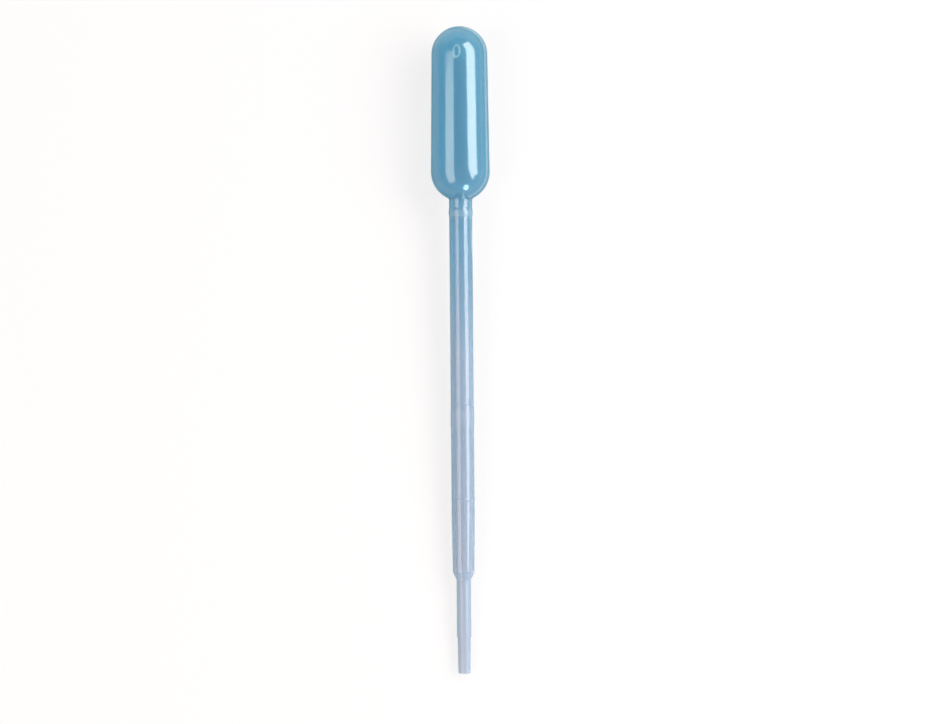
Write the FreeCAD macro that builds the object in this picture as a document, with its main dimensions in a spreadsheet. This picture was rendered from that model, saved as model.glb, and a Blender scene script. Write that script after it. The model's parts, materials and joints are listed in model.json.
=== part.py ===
import FreeCAD, Part
import math
import os
import Sketcher

# A dropper pipette, blow-moulded in one piece: a closed round-ended bulb, a straight stem and a narrow open tip.
# It lies on its side as it comes to rest, on the lower ball of its bulb and the rim of its mouth.
# +Z is up, +Y points along it to the bulb, and the origin is on the floor under the middle of its length.
# Lengths are in millimetres. Places along the pipette are counted from the centre of the bulb's lower ball
# towards the mouth.

sizes = {
    "BulbTopRadius": 6.65,  # the ball that closes the top of the bulb
    "BulbEndRadius": 7.0,  # the ball at its lower end, the widest place
    "BulbSide": 28.15,  # between the centres of the two balls
    "BulbWall": 0.55,
    "NeckBlend": 0.7,  # outside rounding where the bulb meets the stem
    "BoreBlend": 2.0,  # the same inside
    "StemRadius": 2.72,
    "StemBoreRadius": 1.87,
    "StemLength": 95.9,
    "TaperLength": 12.7,  # the last stretch of the stem narrows
    "TaperRadius": 2.54,
    "ShoulderLength": 1.9,
    "ShoulderBlend": 0.8,
    "TipRadius": 1.7,
    "TipBoreRadius": 1.05,
    "TipLength": 13.7,
    "NozzleRadius": 1.55,  # the finer end of the tip, past its small step
    "NozzleLength": 8.7,
    "MouthRadius": 1.43,
    "MouthBlend": 0.1,
    "NeckRingPlace": 9.8,
    "NeckRingWidth": 2.2,
    "NeckRingHeight": 0.12,
    "MidRingPlace": 59.2,
    "MidRingWidth": 6.0,
    "MidRingHeight": 0.08,
    "LinePlace": 32.7,  # the first of the fine filling lines round the stem
    "LineSpacing": 22.9,
    "LineCount": 3,
    "LineWidth": 0.5,
    "LineHeight": 0.06,
    "RingRoot": 0.3,  # how deep the rings and lines are rooted in the stem
}

# Where the corners of the outline lie, and the pose at rest: the pipette tilts until its mouth or its shoulder
# meets the floor, whichever comes first.
placeFormulas = {
    "TaperStart": "Sizes.StemLength - Sizes.TaperLength",
    "ShoulderTop": "Sizes.StemLength",
    "ShoulderFoot": "ShoulderTop + Sizes.ShoulderLength",
    "NozzleTop": "ShoulderFoot + Sizes.TipLength",
    "Mouth": "NozzleTop + Sizes.NozzleLength",
    "RimPlace": "Mouth - Sizes.MouthBlend",
    "RimRadius": "Sizes.MouthRadius - Sizes.MouthBlend",
}
tiltFormulas = {
    "TiltOnRim": "asin((Sizes.BulbEndRadius - Sizes.MouthBlend) / sqrt(RimPlace^2 + RimRadius^2))"
    " - atan(RimRadius / RimPlace)",
    "TiltOnShoulder": "asin(Sizes.BulbEndRadius / sqrt(ShoulderTop^2 + Sizes.TaperRadius^2))"
    " - atan(Sizes.TaperRadius / ShoulderTop)",
    "Tilt": "min(TiltOnRim; TiltOnShoulder)",
}
reachFormulas = {
    "TopReach": "Sizes.BulbSide * cos(Tilt) + Sizes.BulbTopRadius",
    "MouthReach": "RimPlace * cos(Tilt) + RimRadius * sin(Tilt) + Sizes.MouthBlend",
}


def makeSheet(doc):
    sheet = doc.addObject("Spreadsheet::Sheet", "Sizes")
    for row, (name, value) in enumerate(sizes.items(), start=1):
        sheet.set(f"A{row}", name)
        sheet.set(f"B{row}", str(value))
        sheet.setAlias(f"B{row}", name)
    doc.recompute()


def makePlaces(doc):
    places = doc.addObject("App::VarSet", "Places")
    for kind, formulas in (
        ("App::PropertyFloat", placeFormulas),
        ("App::PropertyAngle", tiltFormulas),
        ("App::PropertyFloat", reachFormulas),
    ):
        for name, formula in formulas.items():
            places.addProperty(kind, name)
            places.setExpression(name, formula)
    doc.recompute()
    return places


def newSketch(body, name):
    """A sketch in the plane of the pipette's axis: across it is the radius, and up it is towards the bulb."""
    plane = next(feature for feature in body.Origin.OriginFeatures if feature.Role == "XY_Plane")
    sketch = body.newObject("Sketcher::SketchObject", name)
    sketch.AttachmentSupport = (plane, [""])
    sketch.MapMode = "FlatFace"
    return sketch


def bind(sketch, name, formula, *constraint):
    """Adds a sketch's size under a name of its own and ties it to the sheet."""
    sketch.renameConstraint(sketch.addConstraint(Sketcher.Constraint(*constraint)), name)
    sketch.setExpression(f"Constraints.{name}", formula)


def relate(sketch, *constraint):
    sketch.addConstraint(Sketcher.Constraint(*constraint))


def addArc(sketch, centre, radius, start, end):
    circle = Part.Circle(FreeCAD.Vector(*centre), FreeCAD.Vector(0, 0, 1), radius)
    return sketch.addGeometry(Part.ArcOfCircle(circle, start, end))


def addLine(sketch, start, end):
    return sketch.addGeometry(Part.LineSegment(FreeCAD.Vector(*start), FreeCAD.Vector(*end)))


def drawOutline(sketch, places, corners, wall=None):
    """Half a section of the pipette: down the bulb, through the corners and back up the axis. A corner is the
    name of its radius and the name of its place. With a wall, the bulb is drawn that far inside its surface."""
    inset = sizes[wall] if wall else 0
    insetFormula = f" - Sizes.{wall}" if wall else ""
    topRadius = sizes["BulbTopRadius"] - inset
    endRadius = sizes["BulbEndRadius"] - inset
    lean = math.asin((endRadius - topRadius) / sizes["BulbSide"])
    across = math.cos(lean)
    up = math.sin(lean)

    topHeight = sizes["BulbSide"]
    top = addArc(sketch, (0, topHeight), topRadius, lean, math.pi / 2)
    end = addArc(sketch, (0, 0), endRadius, -1.2, lean)
    side = addLine(sketch, (topRadius * across, topHeight + topRadius * up), (endRadius * across, endRadius * up))
    relate(sketch, "PointOnObject", top, 3, -2)
    relate(sketch, "PointOnObject", top, 2, -2)
    relate(sketch, "Coincident", end, 3, -1, 1)
    relate(sketch, "Tangent", top, 1, side, 1)
    relate(sketch, "Tangent", side, 2, end, 2)
    bind(sketch, "Side", "Sizes.BulbSide", "DistanceY", -1, 1, top, 3, topHeight)
    bind(sketch, "TopRadius", f"Sizes.BulbTopRadius{insetFormula}", "Radius", top, topRadius)
    bind(sketch, "EndRadius", f"Sizes.BulbEndRadius{insetFormula}", "Radius", end, endRadius)

    points = [(sizes[corners[0][0]], -endRadius)]
    points += [(sizes[radius], -getattr(places, place)) for radius, place in corners]
    points += [(0, points[-1][1]), (0, topHeight + topRadius)]
    lines = [addLine(sketch, a, b) for a, b in zip(points, points[1:])]
    relate(sketch, "Coincident", end, 1, lines[0], 1)
    for line, following in zip(lines, lines[1:]):
        relate(sketch, "Coincident", line, 2, following, 1)
    relate(sketch, "Coincident", lines[-1], 2, top, 2)
    relate(sketch, "Vertical", lines[0])
    relate(sketch, "Horizontal", lines[-2])
    relate(sketch, "Vertical", lines[-1])
    for number, (line, (radius, place)) in enumerate(zip(lines, corners), start=1):
        bind(sketch, f"Across{number}", f"Sizes.{radius}", "DistanceX", -1, 1, line, 2, sizes[radius])
        bind(sketch, f"Along{number}", f"Places.{place}", "DistanceY", line, 2, -1, 1, getattr(places, place))


def drawRing(sketch, name):
    """A raised ring round the stem: a low arc, closed by straight sides that are rooted in the stem."""
    place = -sizes[name + "Place"]
    half = sizes[name + "Width"] / 2
    height = sizes[name + "Height"]
    stem = sizes["StemRadius"]
    root = stem - sizes["RingRoot"]
    radius = (half**2 + height**2) / (2 * height)
    sweep = math.asin(half / radius)
    arc = addArc(sketch, (stem + height - radius, place), radius, -sweep, sweep)
    points = [(stem, place + half), (root, place + half), (root, place - half), (stem, place - half)]
    lines = [addLine(sketch, a, b) for a, b in zip(points, points[1:])]
    relate(sketch, "Coincident", arc, 2, lines[0], 1)
    relate(sketch, "Coincident", lines[0], 2, lines[1], 1)
    relate(sketch, "Coincident", lines[1], 2, lines[2], 1)
    relate(sketch, "Coincident", lines[2], 2, arc, 1)
    relate(sketch, "Horizontal", lines[0])
    relate(sketch, "Vertical", lines[1])
    relate(sketch, "Horizontal", lines[2])
    relate(sketch, "Vertical", arc, 1, arc, 2)
    bind(sketch, "Place", f"Sizes.{name}Place", "DistanceY", arc, 3, -1, 1, -place)
    bind(sketch, "Width", f"Sizes.{name}Width", "DistanceY", arc, 1, arc, 2, 2 * half)
    bind(sketch, "Stem", "Sizes.StemRadius", "DistanceX", -1, 1, arc, 2, stem)
    bind(sketch, "Root", "Sizes.StemRadius - Sizes.RingRoot", "DistanceX", -1, 1, lines[1], 1, root)
    crown = f"(Sizes.{name}Width^2 / 4 + Sizes.{name}Height^2) / (2 * Sizes.{name}Height)"
    bind(sketch, "Crown", crown, "Radius", arc, radius)


def spin(body, kind, name, sketch):
    """Turns a sketch once round the pipette's axis, as solid (Revolution) or as a cut (Groove)."""
    feature = body.newObject(f"PartDesign::{kind}", name)
    feature.Profile = sketch
    feature.ReferenceAxis = (sketch, ["V_Axis"])
    feature.Angle = 360
    return feature


def addRing(body, name):
    sketch = newSketch(body, name + "Sketch")
    drawRing(sketch, name)
    return spin(body, "Revolution", name, sketch)


def addBlend(doc, body, name, radius, place):
    """Rounds the edge that runs round the pipette at this radius and place, by the size of this name."""
    doc.recompute()
    tip = body.Tip
    found = [
        f"Edge{number}"
        for number, edge in enumerate(tip.Shape.Edges, start=1)
        if not edge.Degenerated
        and isinstance(edge.Curve, Part.Circle)
        and abs(edge.Curve.Radius - radius) < 1e-4
        and abs(edge.Curve.Center.y + place) < 1e-4
    ]
    blend = body.newObject("PartDesign::Fillet", name)
    blend.Base = (tip, found)
    blend.setExpression("Radius", f"Sizes.{name}")


def makePipette(doc, places):
    body = doc.addObject("PartDesign::Body", "pipette")
    body.Label = "pipette"

    outside = newSketch(body, "OutsideSketch")
    corners = [
        ("StemRadius", "TaperStart"),
        ("TaperRadius", "ShoulderTop"),
        ("TipRadius", "ShoulderFoot"),
        ("TipRadius", "NozzleTop"),
        ("NozzleRadius", "NozzleTop"),
        ("MouthRadius", "Mouth"),
    ]
    drawOutline(outside, places, corners)
    spin(body, "Revolution", "Outside", outside)

    addRing(body, "NeckRing")
    addRing(body, "MidRing")
    line = addRing(body, "Line")
    lines = body.newObject("PartDesign::LinearPattern", "Lines")
    lines.Originals = [line]
    lines.Direction = (line.Profile[0], ["V_Axis"])
    lines.Reversed = True
    lines.Mode = "Spacing"
    lines.setExpression("Offset", "Sizes.LineSpacing")
    lines.setExpression("Occurrences", "Sizes.LineCount")
    body.Tip = lines

    neckPlace = math.sqrt(sizes["BulbEndRadius"] ** 2 - sizes["StemRadius"] ** 2)
    addBlend(doc, body, "NeckBlend", sizes["StemRadius"], neckPlace)
    addBlend(doc, body, "ShoulderBlend", sizes["TaperRadius"], places.ShoulderTop)
    addBlend(doc, body, "MouthBlend", sizes["MouthRadius"], places.Mouth)

    doc.recompute()
    solidVolume = body.Shape.Volume
    inside = newSketch(body, "InsideSketch")
    corners = [("StemBoreRadius", "ShoulderTop"), ("TipBoreRadius", "ShoulderFoot"), ("TipBoreRadius", "Mouth")]
    drawOutline(inside, places, corners, wall="BulbWall")
    spin(body, "Groove", "Inside", inside)
    borePlace = math.sqrt((sizes["BulbEndRadius"] - sizes["BulbWall"]) ** 2 - sizes["StemBoreRadius"] ** 2)
    addBlend(doc, body, "BoreBlend", sizes["StemBoreRadius"], borePlace)
    doc.recompute()
    if not body.Shape.Volume < solidVolume:
        raise RuntimeError("the inside of the pipette wasn't cut")

    middle = "(Places.MouthReach - Places.TopReach) / 2"
    place = f"vector(0; {middle}; Sizes.BulbEndRadius)"
    body.setExpression("Placement", f"placement({place}; rotation(vector(1; 0; 0); Places.Tilt))")
    return body


def main():
    doc = FreeCAD.newDocument("DropperPipette")
    makeSheet(doc)
    body = makePipette(doc, makePlaces(doc))
    doc.recompute()
    for item in doc.Objects:
        if "Invalid" in item.State or "Error" in item.State:
            raise RuntimeError(f"{item.Name} failed: {item.State}")
    if body.Shape.isNull() or not body.Shape.isValid():
        raise RuntimeError(f"{body.Label} has no valid shape")
    os.makedirs("parts", exist_ok=True)
    body.Shape.exportStep(f"parts/{body.Label}.step")
    box = body.Shape.optimalBoundingBox(False)
    print(f"{body.Label}: {body.Shape.Volume:.1f} mm3, {len(body.Shape.Solids)} solid, {box}")


main()
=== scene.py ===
import bmesh
import bpy
import json
from math import asin, atan2, cos, degrees, exp, pi, radians, sin, sqrt, tan
from mathutils import Matrix, Vector


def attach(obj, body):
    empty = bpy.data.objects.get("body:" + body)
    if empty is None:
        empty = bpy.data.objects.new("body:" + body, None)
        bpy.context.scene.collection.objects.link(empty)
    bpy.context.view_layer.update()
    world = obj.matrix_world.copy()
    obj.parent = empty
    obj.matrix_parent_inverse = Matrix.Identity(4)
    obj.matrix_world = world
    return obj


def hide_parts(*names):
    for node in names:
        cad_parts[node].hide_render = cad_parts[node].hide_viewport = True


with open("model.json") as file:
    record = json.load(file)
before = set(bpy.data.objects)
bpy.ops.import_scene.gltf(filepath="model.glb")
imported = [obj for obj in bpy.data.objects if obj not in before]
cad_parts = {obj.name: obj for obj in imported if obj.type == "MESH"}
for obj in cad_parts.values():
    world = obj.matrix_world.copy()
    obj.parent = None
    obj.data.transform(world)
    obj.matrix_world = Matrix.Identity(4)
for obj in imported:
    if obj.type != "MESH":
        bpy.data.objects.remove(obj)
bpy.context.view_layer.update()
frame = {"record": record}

mm = 0.001


def hexColour(code):
    # an sRGB hex code as the linear colour that the shaders take, by the sRGB standard's own numbers
    levels = [int(code[start:start + 2], 16) / 255 for start in (1, 3, 5)]
    linear = [level / 12.92 if level <= 0.04045 else ((level + 0.055) / 1.055) ** 2.4 for level in levels]
    return (*linear, 1)


def addNode(tree, kind, settings=None, inputs=None):
    # adds a node; each input is a value, or another node's output to link. Inputs that share a name
    # go by number: a Mix node's colours are inputs 6 and 7, and their mix is its output 2.
    node = tree.nodes.new(kind)
    for name, value in (settings or {}).items():
        setattr(node, name, value)
    for name, value in (inputs or {}).items():
        if isinstance(value, bpy.types.NodeSocket):
            tree.links.new(value, node.inputs[name])
        else:
            node.inputs[name].default_value = value
    return node


def newMaterial(name):
    material = bpy.data.materials.new(name)
    material.use_nodes = True
    material.node_tree.nodes.clear()
    return material, material.node_tree


# Where the pipette lies: the bore mount is its open mouth, and its axis points out of the tip.
tipBore = next(mount for mount in frame["record"]["mounts"] if mount["name"] == "tip_bore")
mouthCentre = Vector(tipBore["pos_m"])
towardsBulb = -Vector(tipBore["axis"]).normalized()
acrossIt = Vector((1, 0, 0))
upwards = acrossIt.cross(towardsBulb)

# The pipette, in millimetres. Places are counted from the centre of the bulb's lower ball,
# towards the mouth.
pipette = {
    "bulbTopRadius": 6.65,
    "bulbEndRadius": 7.0,
    "bulbSide": 28.15,
    "bulbWall": 0.55,
    "neckBlend": 0.7,
    "boreBlend": 2.0,
    "stemRadius": 2.72,
    "stemBoreRadius": 1.87,
    "stemLength": 95.9,
    "taperLength": 12.7,
    "taperRadius": 2.54,
    "shoulderLength": 1.9,
    "shoulderBlend": 0.8,
    "tipRadius": 1.7,
    "tipBoreRadius": 1.05,
    "tipLength": 13.7,
    "nozzleRadius": 1.55,
    "nozzleLength": 8.7,
    "mouthRadius": 1.43,
    "mouthBlend": 0.1,
    "rings": [  # raised round the stem: place, width, height
        (9.8, 2.2, 0.12),
        (32.7, 0.5, 0.06),
        (55.6, 0.5, 0.06),
        (59.2, 6.0, 0.08),
        (78.5, 0.5, 0.06),
    ],
    "ringRoot": 0.3,  # the small hollow round at each ring's foot
    "facetsAround": 160,
    "facetLength": 0.35,  # along the outline's arcs
    "leastFacets": 4,  # in the shortest arc
    "cornerFacets": 5,  # in a rounded corner
    "sideStep": 1.0,  # down the bulb's side
    "holdingStep": 0.35,  # beside each ring, so that the long straight faces shade flat
    "seamHeight": 0.04,  # the mould's parting line, along both sides
    "seamFade": 2.0,  # out from the axis, where the line has its full height
    "merge": 1e-4,  # points closer than this are merged, or count as on the parting plane
    "sharpFrom": 40,  # degrees: an edge sharper than this isn't shaded smooth
}
domeTop = pipette["bulbSide"] + pipette["bulbTopRadius"]
shoulderFoot = pipette["stemLength"] + pipette["shoulderLength"]
nozzleTop = shoulderFoot + pipette["tipLength"]
mouthPlace = nozzleTop + pipette["nozzleLength"]
ballCentre = mouthCentre + towardsBulb * mouthPlace * mm
domeCentre = ballCentre + towardsBulb * pipette["bulbSide"] * mm


def lineTo(bm, last, across, place, steps=1):
    # carries the outline straight on to this place, in equal steps
    start, end = last.co.copy(), Vector((across, -place, 0))
    for step in range(steps):
        last = bmesh.ops.extrude_vert_indiv(bm, verts=[last])["verts"][0]
        last.co = start.lerp(end, (step + 1) / steps)
    return last


def arcRound(bm, last, across, place, turn):
    # swings the last point on round a centre, anticlockwise for a positive turn in degrees
    centre = Vector((across, -place, 0))
    arcLength = (last.co - centre).length * radians(abs(turn))
    steps = max(pipette["leastFacets"], round(arcLength / pipette["facetLength"]))
    made = bmesh.ops.spin(bm, geom=[last], cent=centre, axis=(0, 0, 1), angle=radians(turn),
                          steps=steps, use_duplicate=False)
    return next(item for item in made["geom_last"] if isinstance(item, bmesh.types.BMVert))


def drawBulb(bm, inset, tube, blend):
    # from the top of the dome down to where the stem runs straight
    top = pipette["bulbTopRadius"] - inset
    end = pipette["bulbEndRadius"] - inset
    side = pipette["bulbSide"]
    lean = degrees(asin((end - top) / side))
    last = bm.verts.new((0, side + top, 0))
    last = arcRound(bm, last, 0, -side, lean - 90)
    last = lineTo(bm, last, end * cos(radians(lean)), -end * sin(radians(lean)),
                  round(side / pipette["sideStep"]))
    blendAcross = tube + blend
    blendPlace = sqrt((end + blend) ** 2 - blendAcross ** 2)
    reach = degrees(atan2(-blendPlace, blendAcross))
    last = arcRound(bm, last, 0, 0, reach - lean)
    return arcRound(bm, last, blendAcross, blendPlace, -reach)


def drawStem(bm, last):
    # straight down past the low round-backed rings; the feet of the rings are given back to be rounded
    stem, holding = pipette["stemRadius"], pipette["holdingStep"]
    feet = []
    for place, width, height in pipette["rings"]:
        start = place - width / 2
        if start + last.co.y > 2 * holding:  # room for a holding point at both ends
            last = lineTo(bm, last, stem, holding - last.co.y)
            last = lineTo(bm, last, stem, start - holding)
        foot = lineTo(bm, last, stem, start)
        radius = (width ** 2 / 4 + height ** 2) / (2 * height)
        last = arcRound(bm, foot, stem + height - radius, place, -2 * degrees(asin(width / 2 / radius)))
        feet += [foot, last]
    return lineTo(bm, last, stem, holding - last.co.y), feet


def roundCorner(bm, corner, radius):
    # rounds a corner of the outline to this radius
    before, after = (edge.other_vert(corner).co - corner.co for edge in corner.link_edges)
    turn = pi - before.angle(after)
    bmesh.ops.bevel(bm, geom=[corner], offset=radius * tan(turn / 2), offset_type="OFFSET",
                    segments=pipette["cornerFacets"], profile=0.5, affect="VERTICES", material=-1)


def makeShell():
    bm = bmesh.new()
    last = drawBulb(bm, 0, pipette["stemRadius"], pipette["neckBlend"])
    last, ringFeet = drawStem(bm, last)
    last = lineTo(bm, last, pipette["stemRadius"], pipette["stemLength"] - pipette["taperLength"])
    shoulder = last = lineTo(bm, last, pipette["taperRadius"], pipette["stemLength"])
    last = lineTo(bm, last, pipette["tipRadius"], shoulderFoot)
    last = lineTo(bm, last, pipette["tipRadius"], shoulderFoot + pipette["holdingStep"])
    last = lineTo(bm, last, pipette["tipRadius"], nozzleTop)
    last = lineTo(bm, last, pipette["nozzleRadius"], nozzleTop)
    rim = last = lineTo(bm, last, pipette["mouthRadius"], mouthPlace)
    mouth = lineTo(bm, last, pipette["tipBoreRadius"], mouthPlace)

    last = drawBulb(bm, pipette["bulbWall"], pipette["stemBoreRadius"], pipette["boreBlend"])
    last = lineTo(bm, last, pipette["stemBoreRadius"], pipette["stemLength"])
    last = lineTo(bm, last, pipette["tipBoreRadius"], shoulderFoot)
    bm.edges.new((last, mouth))
    roundCorner(bm, shoulder, pipette["shoulderBlend"])
    roundCorner(bm, rim, pipette["mouthBlend"])
    for foot in ringFeet:
        roundCorner(bm, foot, pipette["ringRoot"])

    bmesh.ops.spin(bm, geom=bm.verts[:] + bm.edges[:], cent=(0, 0, 0), axis=(0, 1, 0), angle=2 * pi,
                   steps=pipette["facetsAround"], use_merge=True, use_duplicate=False)
    bmesh.ops.remove_doubles(bm, verts=bm.verts, dist=pipette["merge"])
    bmesh.ops.recalc_face_normals(bm, faces=bm.faces)
    print("pipette: shell turned,", len(bm.faces), "faces")
    return bm


def raiseSeam(bm):
    # the parting line: a low ridge down both sides of the outer face, with no height at the dome's top
    bm.normal_update()
    for vert in bm.verts:
        if abs(vert.co.z) < pipette["merge"] and vert.normal.x * vert.co.x > 0:
            height = pipette["seamHeight"] * min(1, abs(vert.co.x) / pipette["seamFade"])
            vert.co += vert.normal * height


mark = {  # the small raised oval that the mould leaves on the dome, in millimetres
    "aside": -0.65,  # of the axis
    "belowTop": 6.65,
    "halfWidth": 0.72,
    "halfLength": 1.4,
    "line": 0.3,  # about half the raised line's width
    "height": 0.06,
    "reach": 1.2,  # how far past the oval's end the mesh is made finer
    "cuts": 3,
    "leastRinged": 1e-6,  # so that the oval's very centre isn't divided by nothing
}


def raiseMark(bm):
    centre = Vector((mark["aside"], domeTop - mark["belowTop"]))
    room = mark["halfLength"] + mark["reach"]

    def near(vert):
        return vert.normal.z > 0 and vert.co.z > 0 and (vert.co.xy - centre).length < room

    bm.normal_update()
    patch = [edge for edge in bm.edges if all(near(vert) for vert in edge.verts)]
    bmesh.ops.subdivide_edges(bm, edges=patch, cuts=mark["cuts"], use_grid_fill=True)
    bm.normal_update()
    raised = bm.verts.layers.float.new("raised")
    for vert in bm.verts:
        if not near(vert):
            continue
        away = vert.co.xy - centre
        # ringed is 1 on the oval's line, less inside it and more outside; off is how far away the line is
        ringed = sqrt((away.x / mark["halfWidth"]) ** 2 + (away.y / mark["halfLength"]) ** 2)
        off = (ringed - 1) * away.length / max(ringed, mark["leastRinged"])
        vert[raised] = exp(-(off / mark["line"]) ** 2)
        vert.co += vert.normal * mark["height"] * vert[raised]


def makePipette():
    bm = makeShell()
    raiseSeam(bm)
    raiseMark(bm)
    turned = Matrix((acrossIt, towardsBulb, upwards)).transposed().to_4x4()
    bm.transform(Matrix.Translation(ballCentre) @ turned @ Matrix.Scale(mm, 4))
    mesh = bpy.data.meshes.new("pipette_shell")
    bm.to_mesh(mesh)
    bm.free()
    mesh.shade_smooth()
    mesh.set_sharp_from_angle(angle=radians(pipette["sharpFrom"]))
    shell = bpy.data.objects.new("pipette_shell", mesh)
    bpy.context.scene.collection.objects.link(shell)
    print("pipette:", len(mesh.vertices), "vertices")
    return shell


# Low-density polyethylene, blow-moulded and tinted blue: cloudy, so what is behind it shows through
# as a blur, and deeper in colour where one looks along the wall. Its glossy skin mirrors lamps as
# clean bands.
plastic = {
    "tints": {  # along the pipette, as places: the thin stem and tip look paler than the bulb
        -5: "#9FDFF2",
        15: "#C0E1F3",
        45: "#DCEAF9",
        120: "#EAF1FE",
    },
    "skins": {-5: 1.0, 15: 0.6, 45: 0.55},  # how strongly the skin mirrors, along the pipette
    "clear": {  # share of the light that goes through, not scattered back: the broad rings are cloudier
        8.4: 0.85,
        9.4: 0.66,
        10.8: 0.66,
        11.8: 0.85,
        20: 0.85,
        45: 0.71,
        56: 0.71,
        58: 0.65,
        60.4: 0.65,
        62.4: 0.71,
        120: 0.6,
    },
    "markClear": 0.55,  # how much of that share the mark on the dome keeps
    "roughness": 0.2,
    "ior": 1.51,
    "skinRoughness": 0.08,
    "skinIor": 1.6,
    "wallColour": "#38E7F3",  # what a thick piece would let through
    "wallDensity": 200,  # per metre
    "rippleLength": 6.0,  # mm, the mould's faint waviness
    "rippleHeight": 0.012,  # mm
    "rippleDetail": 2.0,
}


def addRamp(tree, alongIt, stops):
    # grey levels or colours by place
    ramp = addNode(tree, "ShaderNodeValToRGB", None, {"Fac": alongIt})
    elements = ramp.color_ramp.elements
    for number, (place, value) in enumerate(sorted(stops.items())):
        position = (place + domeTop) / (mouthPlace + domeTop)
        element = elements[0] if number == 0 else elements.new(position)
        element.position = position
        element.color = hexColour(value) if isinstance(value, str) else (value, value, value, 1)
    elements.remove(elements[-1])  # the stop that a new ramp has at its end
    return ramp.outputs["Color"]


def makePlastic():
    material, tree = newMaterial("blue polyethylene, blow-moulded")
    # the object's coordinates, turned so that Y runs along the pipette, from the mouth
    lie = asin(towardsBulb.z)
    mouthTurned = Matrix.Rotation(-lie, 3, "X") @ mouthCentre
    place = addNode(tree, "ShaderNodeTexCoord")
    turned = addNode(tree, "ShaderNodeMapping", None, {
        "Vector": place.outputs["Object"],
        "Rotation": (-lie, 0, 0),
        "Location": -mouthTurned})
    split = addNode(tree, "ShaderNodeSeparateXYZ", None, {"Vector": turned.outputs["Vector"]})
    alongIt = addNode(tree, "ShaderNodeMapRange", None, {
        "Value": split.outputs["Y"],
        "From Min": (mouthPlace + domeTop) * mm,
        "From Max": 0.0}).outputs["Result"]

    ripple = addNode(tree, "ShaderNodeTexNoise", None, {
        "Vector": turned.outputs["Vector"],
        "Scale": 1 / (plastic["rippleLength"] * mm),
        "Detail": plastic["rippleDetail"],
        "Roughness": 0.5})
    bump = addNode(tree, "ShaderNodeBump", None, {
        "Height": ripple.outputs["Fac"],
        "Distance": plastic["rippleHeight"] * mm,
        "Strength": 1.0})
    raised = addNode(tree, "ShaderNodeAttribute", {"attribute_name": "raised"})
    cloud = addNode(tree, "ShaderNodeMapRange", None, {
        "Value": raised.outputs["Fac"],
        "To Min": 1.0,
        "To Max": plastic["markClear"]})
    clear = addNode(tree, "ShaderNodeMath", {"operation": "MULTIPLY"}, {
        0: addRamp(tree, alongIt, plastic["clear"]),
        1: cloud.outputs["Result"]})
    shader = addNode(tree, "ShaderNodeBsdfPrincipled", None, {
        "Base Color": addRamp(tree, alongIt, plastic["tints"]),
        "Roughness": plastic["roughness"],
        "IOR": plastic["ior"],
        "Transmission Weight": clear.outputs[0],
        "Coat Weight": addRamp(tree, alongIt, plastic["skins"]),
        "Coat Roughness": plastic["skinRoughness"],
        "Coat IOR": plastic["skinIor"],
        "Normal": bump.outputs["Normal"],
        "Coat Normal": bump.outputs["Normal"]})
    wall = addNode(tree, "ShaderNodeVolumeAbsorption", None, {
        "Color": hexColour(plastic["wallColour"]),
        "Density": plastic["wallDensity"]})
    addNode(tree, "ShaderNodeOutputMaterial", None, {
        "Surface": shader.outputs["BSDF"],
        "Volume": wall.outputs["Volume"]})
    return material


shell = makePipette()
shell.data.materials.append(makePlastic())
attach(shell, "root")
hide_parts("pipette")
print("pipette: dressed")

# The studio, in metres and degrees unless a line says otherwise. The strips are long soft boxes over
# the pipette: "from" and "to" are angles round its axis, from straight up towards the right;
# "tipwards" and "bulbwards" are how far each reaches from the pipette's middle; and "skew" turns it
# about the way it faces. A box of strength 1 is about as bright as the white floor.
studio = {
    "floorSize": 6.0,
    "floorColour": "#FCFCFC",
    "floorGlow": 0.75,  # how much of the floor's white doesn't depend on the lamps
    # the rays that see the floor's glow and the white backdrop; others see matt paper and the ambient
    "glowFor": ("Is Camera Ray", "Is Glossy Ray", "Is Transmission Ray"),
    "shadowReach": 0.1,  # from the middle, where the glow starts to take over
    "glowReach": 0.5,
    "mirrored": "#A0C4D8",  # floor and backdrop, in the plastic's gloss and through it
    "mirroredPastBulb": "#D5E3EC",
    "pastBulbFrom": 0.3,  # where the one runs into the other, as a unit direction's share past the bulb
    "pastBulbTo": 0.8,
    # the floor beside the bulb as its skin mirrors it, in mm: a deeper blue round a line to the right
    "besideBulb": {"colour": "#40A0BF", "aside": 20, "from": 32, "to": 40},
    # and a light band, in mm from the bulb's axis, that gives the bulb's right edge a thin light line
    "edgeLine": {"colour": "#E6F5FF", "brightness": 1.4, "middle": 18, "halfWidth": 6, "fadeIn": 6},
    "ambient": "#8990A2",  # the room's own light, a little cool
    "backdropTop": 0.35,  # the white backdrop ends and the ceiling starts, as a unit direction's height
    "ceilingEdge": 0.6,
    "lampDistance": 0.5,
    "strips": {
        "bright strip": {
            "from": 28,
            "to": 62,
            "tipwards": 0.15,
            "bulbwards": 0.5,
            "skew": 28,
            "strength": 4.8,
            "colour": "#FFF0E8",
        },
        "bright strip foot": {
            "from": 50,
            "to": 64,
            "tipwards": 0.24,
            "bulbwards": -0.15,
            "skew": 0,
            "strength": 3.0,
            "colour": "#FFF0E8",
        },
        "dim strip": {
            "from": -59,
            "to": -24,
            "tipwards": 0.45,
            "bulbwards": 0.125,
            "skew": 0,
            "strength": 2.45,
            "colour": "#FFE0BE",
        },
    },
    "lowLamp": {
        "towardsTip": 74,
        "aside": 20,
        "width": 0.18,
        "length": 0.24,
        "strength": 5.5,
        "colour": "#DDF6FF",
    },
}


def seenBy(tree, *kinds):
    # 1 for a ray of any of these kinds
    path = addNode(tree, "ShaderNodeLightPath")
    seen = path.outputs[kinds[0]]
    for kind in kinds[1:]:
        either = addNode(tree, "ShaderNodeMath", {"operation": "MAXIMUM"}, {
            0: seen,
            1: path.outputs[kind]})
        seen = either.outputs[0]
    return seen


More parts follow.
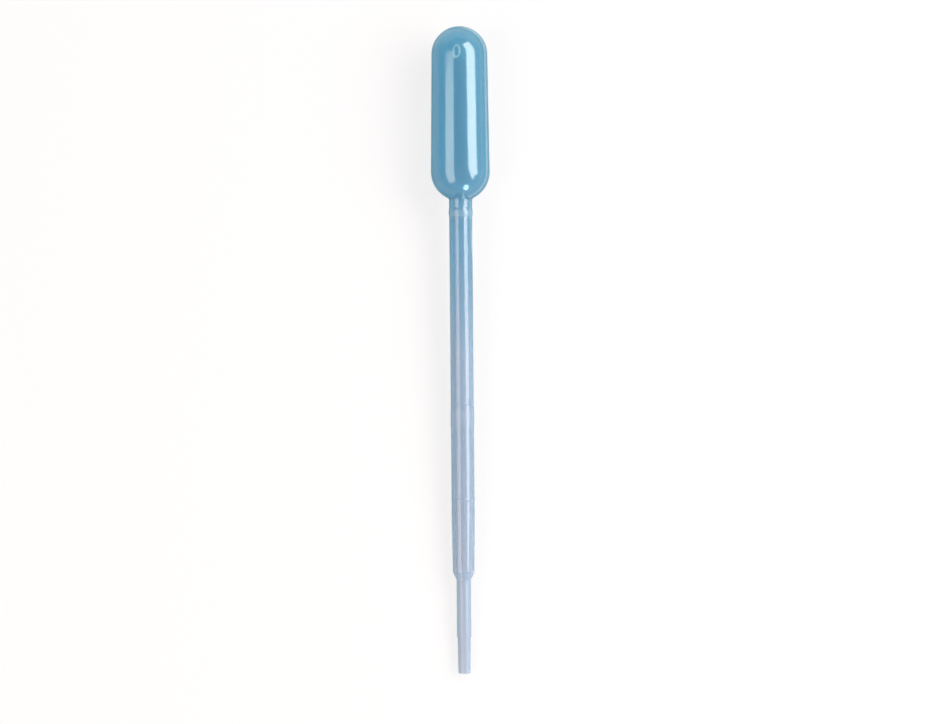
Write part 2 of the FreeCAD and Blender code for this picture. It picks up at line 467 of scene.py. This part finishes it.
def surroundings(tree, direction):
    # white to look at; in the plastic's gloss and through it a soft blue, as among more such pipettes,
    # and a lighter one past the bulb
    unit = addNode(tree, "ShaderNodeVectorMath", {"operation": "NORMALIZE"}, {0: direction})
    split = addNode(tree, "ShaderNodeSeparateXYZ", None, {"Vector": unit.outputs["Vector"]})
    pastBulb = addNode(tree, "ShaderNodeMapRange", {"interpolation_type": "SMOOTHSTEP"}, {
        "Value": split.outputs["Y"],
        "From Min": studio["pastBulbFrom"],
        "From Max": studio["pastBulbTo"]})
    mirrored = addNode(tree, "ShaderNodeMix", {"data_type": "RGBA"}, {
        0: pastBulb.outputs["Result"],
        6: hexColour(studio["mirrored"]),
        7: hexColour(studio["mirroredPastBulb"])})
    colour = addNode(tree, "ShaderNodeMix", {"data_type": "RGBA"}, {
        0: seenBy(tree, "Is Glossy Ray"),
        6: (1, 1, 1, 1),
        7: mirrored.outputs[2]})
    return colour.outputs[2]


def besideBulb(tree, place, colour):
    # what the bulb's skin mirrors of the floor beside it, in place of this colour
    deep, line = studio["besideBulb"], studio["edgeLine"]
    split = addNode(tree, "ShaderNodeSeparateXYZ", None, {"Vector": place})
    level = addNode(tree, "ShaderNodeClamp", None, {
        "Value": split.outputs["Y"],
        "Min": ballCentre.y,
        "Max": domeCentre.y})

    def distanceTo(aside):
        # from a line on the floor as long as the bulb's side, this far to the right of its axis
        nearest = addNode(tree, "ShaderNodeCombineXYZ", None, {
            "X": aside * mm,
            "Y": level.outputs["Result"]})
        gap = addNode(tree, "ShaderNodeVectorMath", {"operation": "DISTANCE"}, {
            0: place,
            1: nearest.outputs["Vector"]})
        return gap.outputs["Value"]

    nearness = addNode(tree, "ShaderNodeMapRange", {"interpolation_type": "SMOOTHSTEP"}, {
        "Value": distanceTo(deep["aside"]),
        "From Min": deep["to"] * mm,
        "From Max": deep["from"] * mm})
    deeper = addNode(tree, "ShaderNodeMix", {"data_type": "RGBA"}, {
        0: nearness.outputs["Result"],
        6: colour,
        7: hexColour(deep["colour"])})

    off = addNode(tree, "ShaderNodeMath", {"operation": "SUBTRACT"}, {
        0: distanceTo(0),
        1: line["middle"] * mm})
    off = addNode(tree, "ShaderNodeMath", {"operation": "ABSOLUTE"}, {0: off.outputs[0]})
    inLine = addNode(tree, "ShaderNodeMapRange", {"interpolation_type": "SMOOTHSTEP"}, {
        "Value": off.outputs[0],
        "From Min": line["halfWidth"] * mm,
        "From Max": 0.0})
    onRight = addNode(tree, "ShaderNodeMapRange", None, {
        "Value": split.outputs["X"],
        "From Max": line["fadeIn"] * mm})
    share = addNode(tree, "ShaderNodeMath", {"operation": "MULTIPLY"}, {
        0: inLine.outputs["Result"],
        1: onRight.outputs["Result"]})
    lined = addNode(tree, "ShaderNodeMix", {"data_type": "RGBA"}, {
        0: share.outputs[0],
        6: deeper.outputs[2],
        7: [line["brightness"] * channel for channel in hexColour(line["colour"])]})

    # only for rays that the skin mirrors, not for those that go through it
    path = addNode(tree, "ShaderNodeLightPath")
    bySkin = addNode(tree, "ShaderNodeMath", {"operation": "SUBTRACT", "use_clamp": True}, {
        0: path.outputs["Is Glossy Ray"],
        1: path.outputs["Is Transmission Ray"]})
    mirrored = addNode(tree, "ShaderNodeMix", {"data_type": "RGBA"}, {
        0: bySkin.outputs[0],
        6: colour,
        7: lined.outputs[2]})
    return mirrored.outputs[2]


def makeFloor():
    bm = bmesh.new()
    bmesh.ops.create_grid(bm, x_segments=1, y_segments=1, size=studio["floorSize"] / 2)
    mesh = bpy.data.meshes.new("floor")
    bm.to_mesh(mesh)
    bm.free()
    floor = bpy.data.objects.new("floor", mesh)
    bpy.context.scene.collection.objects.link(floor)
    # matt white paper: it takes the soft shadow and shows no gloss
    material, tree = newMaterial("white paper sweep")
    matt = addNode(tree, "ShaderNodeBsdfDiffuse", None, {"Color": hexColour(studio["floorColour"])})
    place = addNode(tree, "ShaderNodeTexCoord").outputs["Object"]
    fromDome = addNode(tree, "ShaderNodeVectorMath", {"operation": "SUBTRACT"}, {
        0: place,
        1: (0, domeCentre.y, 0)})
    colour = besideBulb(tree, place, surroundings(tree, fromDome.outputs["Vector"]))
    glow = addNode(tree, "ShaderNodeEmission", None, {"Color": colour, "Strength": 1.0})
    # the glow takes over away from the pipette, so that the floor runs into the backdrop with no edge
    away = addNode(tree, "ShaderNodeVectorMath", {"operation": "LENGTH"}, {0: place})
    level = addNode(tree, "ShaderNodeMapRange", {"interpolation_type": "SMOOTHSTEP"}, {
        "Value": away.outputs["Value"],
        "From Min": studio["shadowReach"],
        "From Max": studio["glowReach"],
        "To Min": studio["floorGlow"],
        "To Max": 1.0})
    share = addNode(tree, "ShaderNodeMath", {"operation": "MULTIPLY"}, {
        0: seenBy(tree, *studio["glowFor"]),
        1: level.outputs["Result"]})
    mixed = addNode(tree, "ShaderNodeMixShader", None, {
        0: share.outputs[0],
        1: matt.outputs["BSDF"],
        2: glow.outputs["Emission"]})
    addNode(tree, "ShaderNodeOutputMaterial", None, {"Surface": mixed.outputs["Shader"]})
    floor.data.materials.append(material)


def makeWorld():
    world = bpy.data.worlds.new("studio")
    world.use_nodes = True
    tree = world.node_tree
    tree.nodes.clear()
    # a bright backdrop all round, up to a soft edge, and a dim ceiling above it
    direction = addNode(tree, "ShaderNodeTexCoord").outputs["Generated"]
    split = addNode(tree, "ShaderNodeSeparateXYZ", None, {"Vector": direction})
    backdrop = addNode(tree, "ShaderNodeMapRange", {"interpolation_type": "SMOOTHSTEP"}, {
        "Value": split.outputs["Z"],
        "From Min": studio["backdropTop"],
        "From Max": studio["ceilingEdge"],
        "To Min": 1.0,
        "To Max": 0.0})
    share = addNode(tree, "ShaderNodeMath", {"operation": "MULTIPLY"}, {
        0: seenBy(tree, *studio["glowFor"]),
        1: backdrop.outputs["Result"]})
    colour = addNode(tree, "ShaderNodeMix", {"data_type": "RGBA"}, {
        0: share.outputs[0],
        6: hexColour(studio["ambient"]),
        7: surroundings(tree, direction)})
    sky = addNode(tree, "ShaderNodeBackground", None, {"Color": colour.outputs[2], "Strength": 1.0})
    addNode(tree, "ShaderNodeOutputWorld", None, {"Surface": sky.outputs["Background"]})
    bpy.context.scene.world = world


def addSoftBox(name, shape, place, turn, width, length, strength, colour):
    lamp = bpy.data.lights.new(name, "AREA")
    lamp.shape = shape
    lamp.size = width
    lamp.size_y = length
    lamp.energy = strength * pi * width * length  # so that it looks as bright at any size
    lamp.color = hexColour(colour)[:3]
    box = bpy.data.objects.new(name, lamp)
    box.matrix_world = Matrix.Translation(place) @ turn.to_4x4()
    box.visible_camera = False
    bpy.context.scene.collection.objects.link(box)


def addLamps():
    distance = studio["lampDistance"]
    for name, strip in studio["strips"].items():
        turn = Matrix.Rotation(radians((strip["from"] + strip["to"]) / 2), 3, "Y")
        shift = Vector((0, (strip["bulbwards"] - strip["tipwards"]) / 2, 0))
        place = turn @ Vector((0, 0, distance)) + shift
        turn = turn @ Matrix.Rotation(radians(strip["skew"]), 3, "Z")
        width = 2 * distance * tan(radians((strip["to"] - strip["from"]) / 2))
        length = strip["tipwards"] + strip["bulbwards"]
        addSoftBox(name, "RECTANGLE", place, turn, width, length, strip["strength"], strip["colour"])
    low = studio["lowLamp"]
    turn = Matrix.Rotation(radians(low["towardsTip"]), 3, "X")
    turn = turn @ Matrix.Rotation(radians(low["aside"]), 3, "Y")
    place = turn @ Vector((0, 0, distance))
    width, length = low["width"], low["length"]
    addSoftBox("low lamp", "ELLIPSE", place, turn, width, length, low["strength"], low["colour"])


# The camera's distance follows from what it takes in across the frame and its lens.
view = {
    "acrossFrame": 0.2277,  # metres
    "lens": 95.0,  # mm
    "right": 0.00316,  # metres from the pipette's middle
    "below": 0.00293,
    "roll": 0.48,  # degrees
    "farthest": 50,  # metres
}


def makeCamera():
    # looks squarely down on the pipette, with the bulb at the top of the picture
    camera = bpy.data.cameras.new("camera")
    camera.lens = view["lens"]
    camera.clip_end = view["farthest"]
    middle = ballCentre + towardsBulb * (domeTop - mouthPlace) / 2 * mm
    square = Matrix((acrossIt, towardsBulb, upwards)).transposed()
    turn = square @ Matrix.Rotation(radians(-view["roll"]), 3, "Z")
    distance = view["acrossFrame"] / camera.sensor_width * camera.lens
    cameraObject = bpy.data.objects.new("camera", camera)
    cameraObject.rotation_mode = "QUATERNION"
    cameraObject.rotation_quaternion = turn.to_quaternion()
    cameraObject.location = middle + turn @ Vector((view["right"], -view["below"], distance))
    bpy.context.scene.collection.objects.link(cameraObject)
    bpy.context.scene.camera = cameraObject


makeFloor()
makeWorld()
addLamps()
makeCamera()
bpy.context.scene.view_settings.view_transform = "Standard"
print("studio: set")
